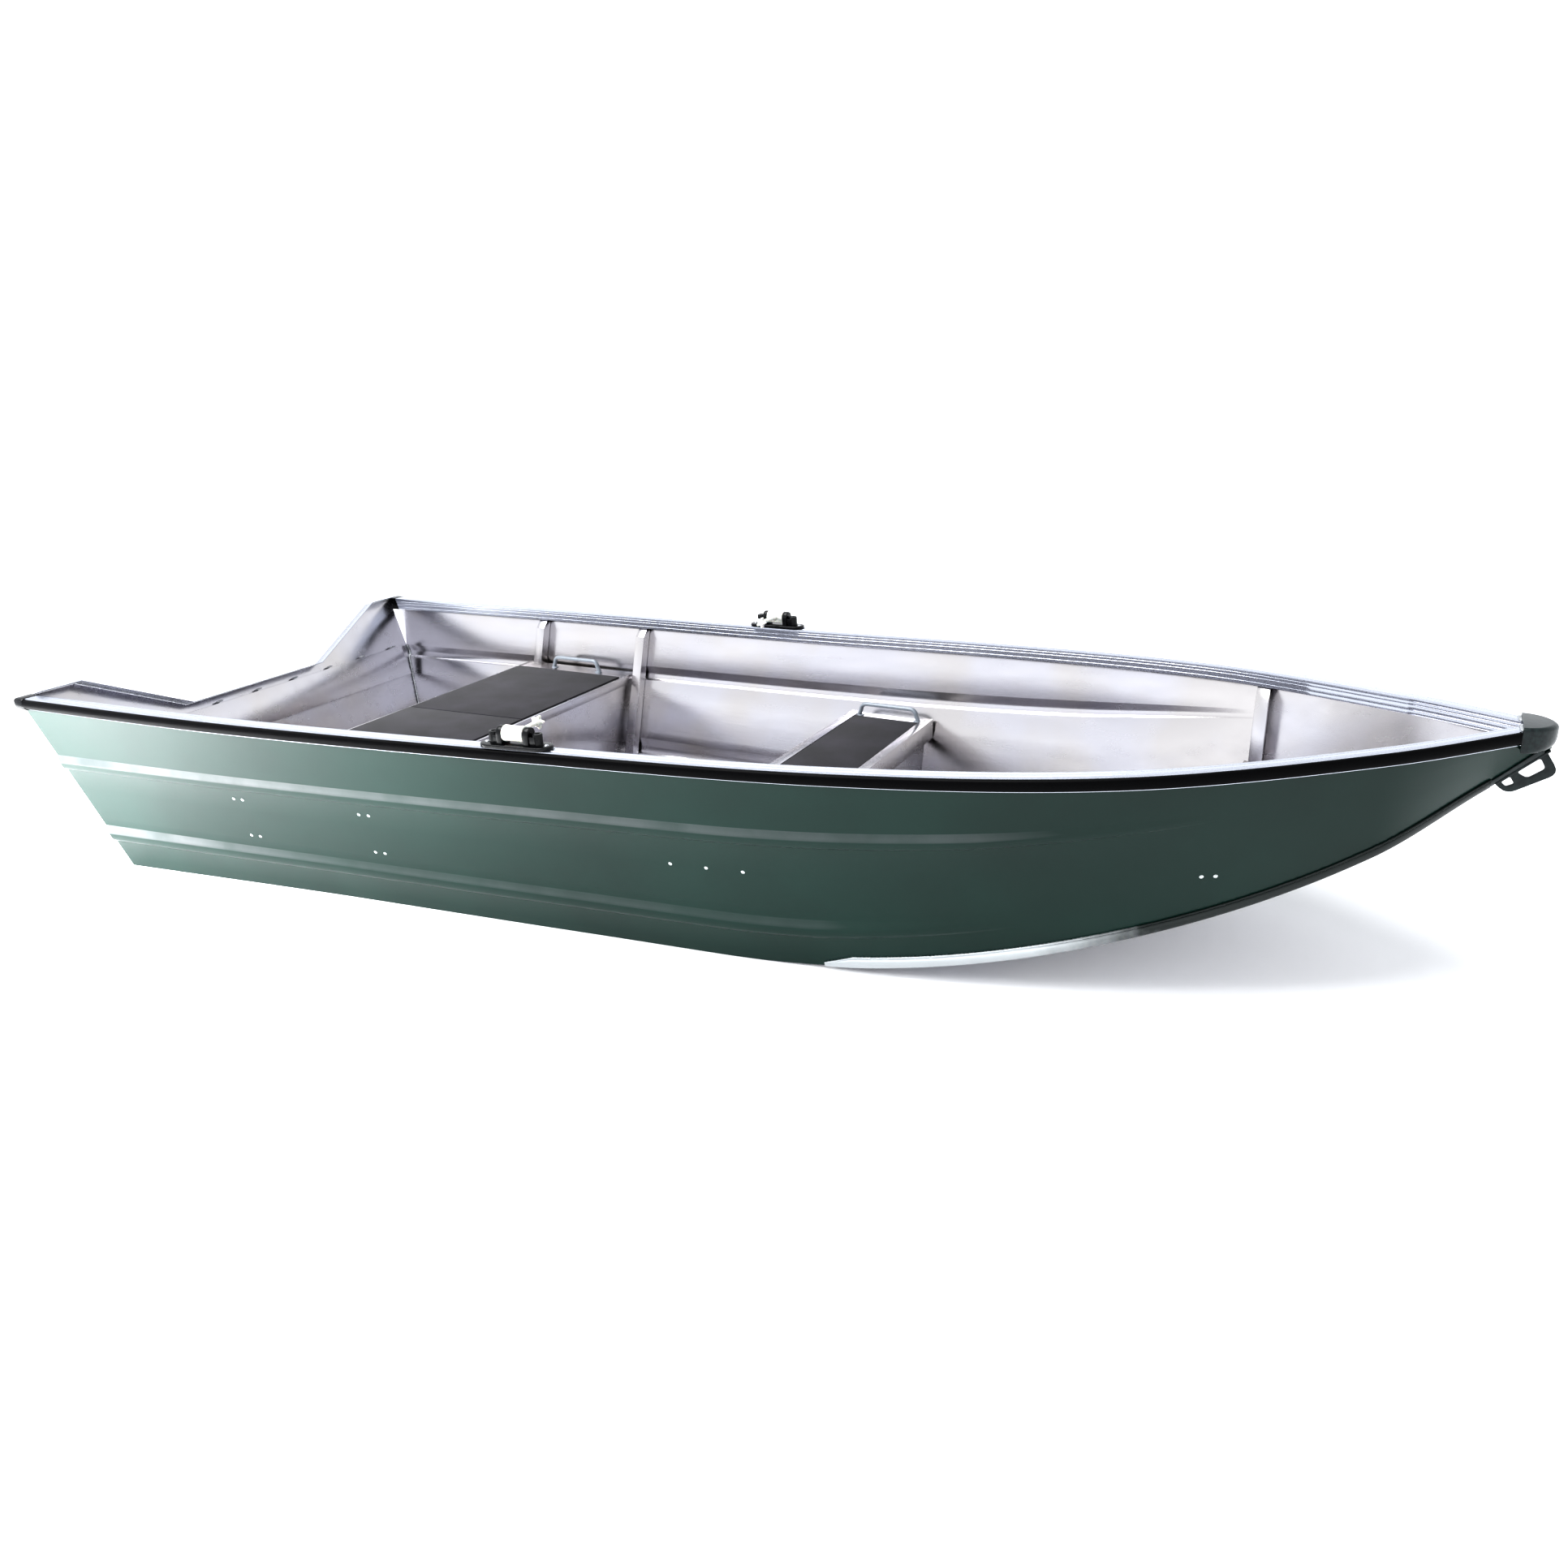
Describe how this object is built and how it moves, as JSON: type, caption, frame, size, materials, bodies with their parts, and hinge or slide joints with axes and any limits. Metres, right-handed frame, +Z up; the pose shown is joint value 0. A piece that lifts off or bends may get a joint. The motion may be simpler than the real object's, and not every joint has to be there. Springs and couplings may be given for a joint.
{
  "type": "aluminium rowing boat",
  "caption": "Open flat-bottomed aluminium boat with pressed strakes, raked transom with motor cut-out, box thwarts, folding oar pins with star knobs, rub rails and a bow eye.",
  "frame": {"origin": "centre of the boat's bounding box at the level of its flat bottom", "axes": "+X to the bow, +Y to port, +Z up"},
  "size_m": [3.7009, 1.524, 0.595],
  "materials": {
    "green_paint": "satin green paint",
    "bare_sheet": "bare rolled sheet",
    "extrusion": "anodised extrusion",
    "black_rubber": "satin",
    "black_plastic": "moulded",
    "bar_aluminium": "bare bar",
    "dark_paint": "gloss",
    "mat": "fine moulded foam rubber",
    "foam": "closed-cell foam",
    "grey_handle": "powder coat",
    "white_nylon": "moulded nylon",
    "steel_screw": "turned",
    "rivet": "domed",
    "drain_brass": "turned"
  },
  "bodies": {
    "hull": {"port_side_sheet": "green_paint", "starboard_side_sheet": "green_paint", "bottom_sheet": "bare_sheet", "transom": "bare_sheet", "transom_rim": "extrusion", "transom_board": "bare_sheet", "port_gunwale": "extrusion", "starboard_gunwale": "extrusion", "port_rub_rail": "black_rubber", "starboard_rub_rail": "black_rubber", "stern_corner_caps": "black_plastic", "port_chine_bar": "bar_aluminium", "starboard_chine_bar": "bar_aluminium", "stem_bar": "dark_paint", "eye_plate": "dark_paint", "bow_cap": "dark_paint", "aft_frames": "bare_sheet", "middle_frames": "bare_sheet", "bow_frames": "bare_sheet", "aft_thwart_top": "bare_sheet", "aft_thwart_front": "bare_sheet", "aft_thwart_rear": "bare_sheet", "aft_foam": "foam", "aft_mats": "mat", "middle_thwart_top": "bare_sheet", "middle_thwart_front": "bare_sheet", "middle_thwart_rear": "bare_sheet", "middle_foam": "foam", "middle_mat": "mat", "bow_seat": "bare_sheet", "bow_panel": "bare_sheet", "grab_handles": "grey_handle", "port_oar_base": "black_plastic", "starboard_oar_base": "black_plastic", "oar_screws": "steel_screw", "port_rivets": "rivet", "starboard_rivets": "rivet", "drain_socket": "drain_brass"},
    "port_swivel": {"port_oar_swivel": "white_nylon"},
    "starboard_swivel": {"starboard_oar_swivel": "white_nylon"},
    "port_knob": {"port_star_knob": "white_nylon"},
    "starboard_knob": {"starboard_star_knob": "white_nylon"},
    "drain_bung": {"drain_plug": "black_plastic"}
  },
  "joints": [
    {"name": "port_pin_fold", "type": "hinge", "parent": "hull", "child": "port_swivel", "pos_m": [-0.22433, 0.66048, 0.55306], "axis": [-0.9972, 0.0743, -0.0103], "range_deg": [0, 90]},
    {"name": "starboard_pin_fold", "type": "hinge", "parent": "hull", "child": "starboard_swivel", "pos_m": [-0.22433, -0.66048, 0.55306], "axis": [0.9972, 0.0743, 0.0103], "range_deg": [0, 90]},
    {"name": "port_knob_turn", "type": "hinge", "parent": "port_swivel", "child": "port_knob", "pos_m": [-0.23146, 0.56474, 0.55306], "axis": [-0.0743, -0.9972, 0], "continuous": true},
    {"name": "starboard_knob_turn", "type": "hinge", "parent": "starboard_swivel", "child": "starboard_knob", "pos_m": [-0.23146, -0.56474, 0.55306], "axis": [-0.0743, 0.9972, 0], "continuous": true},
    {"name": "drain_plug_turn", "type": "hinge", "parent": "hull", "child": "drain_bung", "pos_m": [-1.69581, 0, 0.046], "axis": [-0.9537, 0, -0.3007], "continuous": true}
  ]
}
